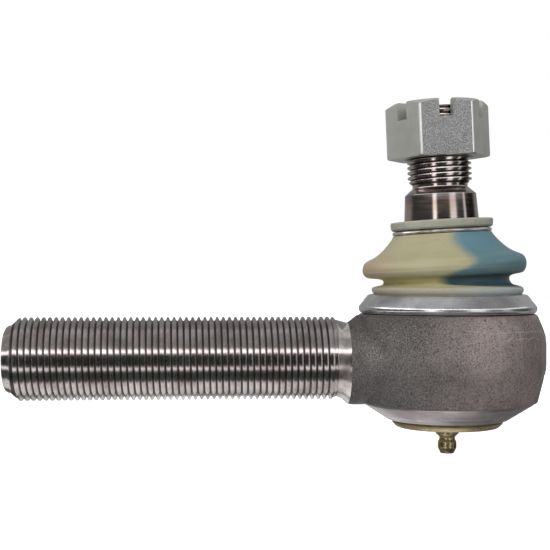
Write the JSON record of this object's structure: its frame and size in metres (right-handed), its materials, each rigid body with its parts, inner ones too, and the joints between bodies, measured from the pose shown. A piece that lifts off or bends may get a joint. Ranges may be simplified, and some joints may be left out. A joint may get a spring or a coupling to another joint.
{
  "type": "tie rod end",
  "caption": "Steering tie rod end: a forged socket on a threaded shank, with a booted ball stud, slotted nut and grease fitting.",
  "frame": {"origin": "centre of the shank's end face, where the shank's thread goes into the tie rod tube", "axes": "+X along the shank towards the ball centre, +Z along the socket's axis towards the stud"},
  "size_m": [0.1863, 0.0676, 0.1224],
  "materials": {
    "forged_steel": "shot-blasted forging, machined where it is threaded",
    "polished_steel": "ground and hardened",
    "bright_steel": "bright turned",
    "spring_steel": "satin",
    "white_zinc": "satin zinc plate",
    "yellow_zinc": "yellow zinc plate",
    "bearing_steel": "ground",
    "boot_rubber": "moulded, satin",
    "seal_rubber": "moulded, matt"
  },
  "bodies": {
    "socket": {"housing": "forged_steel", "upper_bearing": "bearing_steel", "cover_plate": "yellow_zinc", "preload_spring": "spring_steel", "grease_fitting": "yellow_zinc", "grease_check_spring": "spring_steel", "boot_retainer_ring": "white_zinc"},
    "wear_cup": {"lower_bearing": "bearing_steel"},
    "check_valve": {"grease_check_ball": "bright_steel"},
    "boot": {"dust_boot": "boot_rubber"},
    "boot_top": {"boot_seal_washer": "seal_rubber", "boot_top_ring": "bright_steel"},
    "stud": {"ball_stud": "polished_steel"},
    "nut": {"castle_nut": "white_zinc"}
  },
  "joints": [
    {"name": "stud_swing_along", "type": "hinge", "parent": "socket", "child": "boot", "pos_m": [0.1524, 0, 0], "axis": [0, 1, 0], "range_deg": [-12, 17], "deforming": ["dust_boot"]},
    {"name": "stud_swing_across", "type": "hinge", "parent": "boot", "child": "boot_top", "pos_m": [0.1524, 0, 0], "axis": [0.9991, 0, 0.0419], "range_deg": [-14.5, 14.5]},
    {"name": "stud_spin", "type": "hinge", "parent": "boot_top", "child": "stud", "pos_m": [0.1524, 0, 0], "axis": [-0.0419, 0, 0.9991], "continuous": true},
    {"name": "nut_travel", "type": "slide", "parent": "stud", "child": "nut", "axis": [-0.0419, 0, 0.9991], "range_m": [-0.0075, 0.018]},
    {"name": "wear_cup_travel", "type": "slide", "parent": "socket", "child": "wear_cup", "axis": [0, 0, 1], "range_m": [-0.0005, 0], "stiffness_N_per_m": 6000, "springref_m": 0.0005, "deforming": ["preload_spring"]},
    {"name": "check_valve_travel", "type": "slide", "parent": "socket", "child": "check_valve", "axis": [0, 0, 1], "range_m": [0, 0.0007], "stiffness_N_per_m": 5, "springref_m": -0.0005, "deforming": ["grease_check_spring"]}
  ]
}
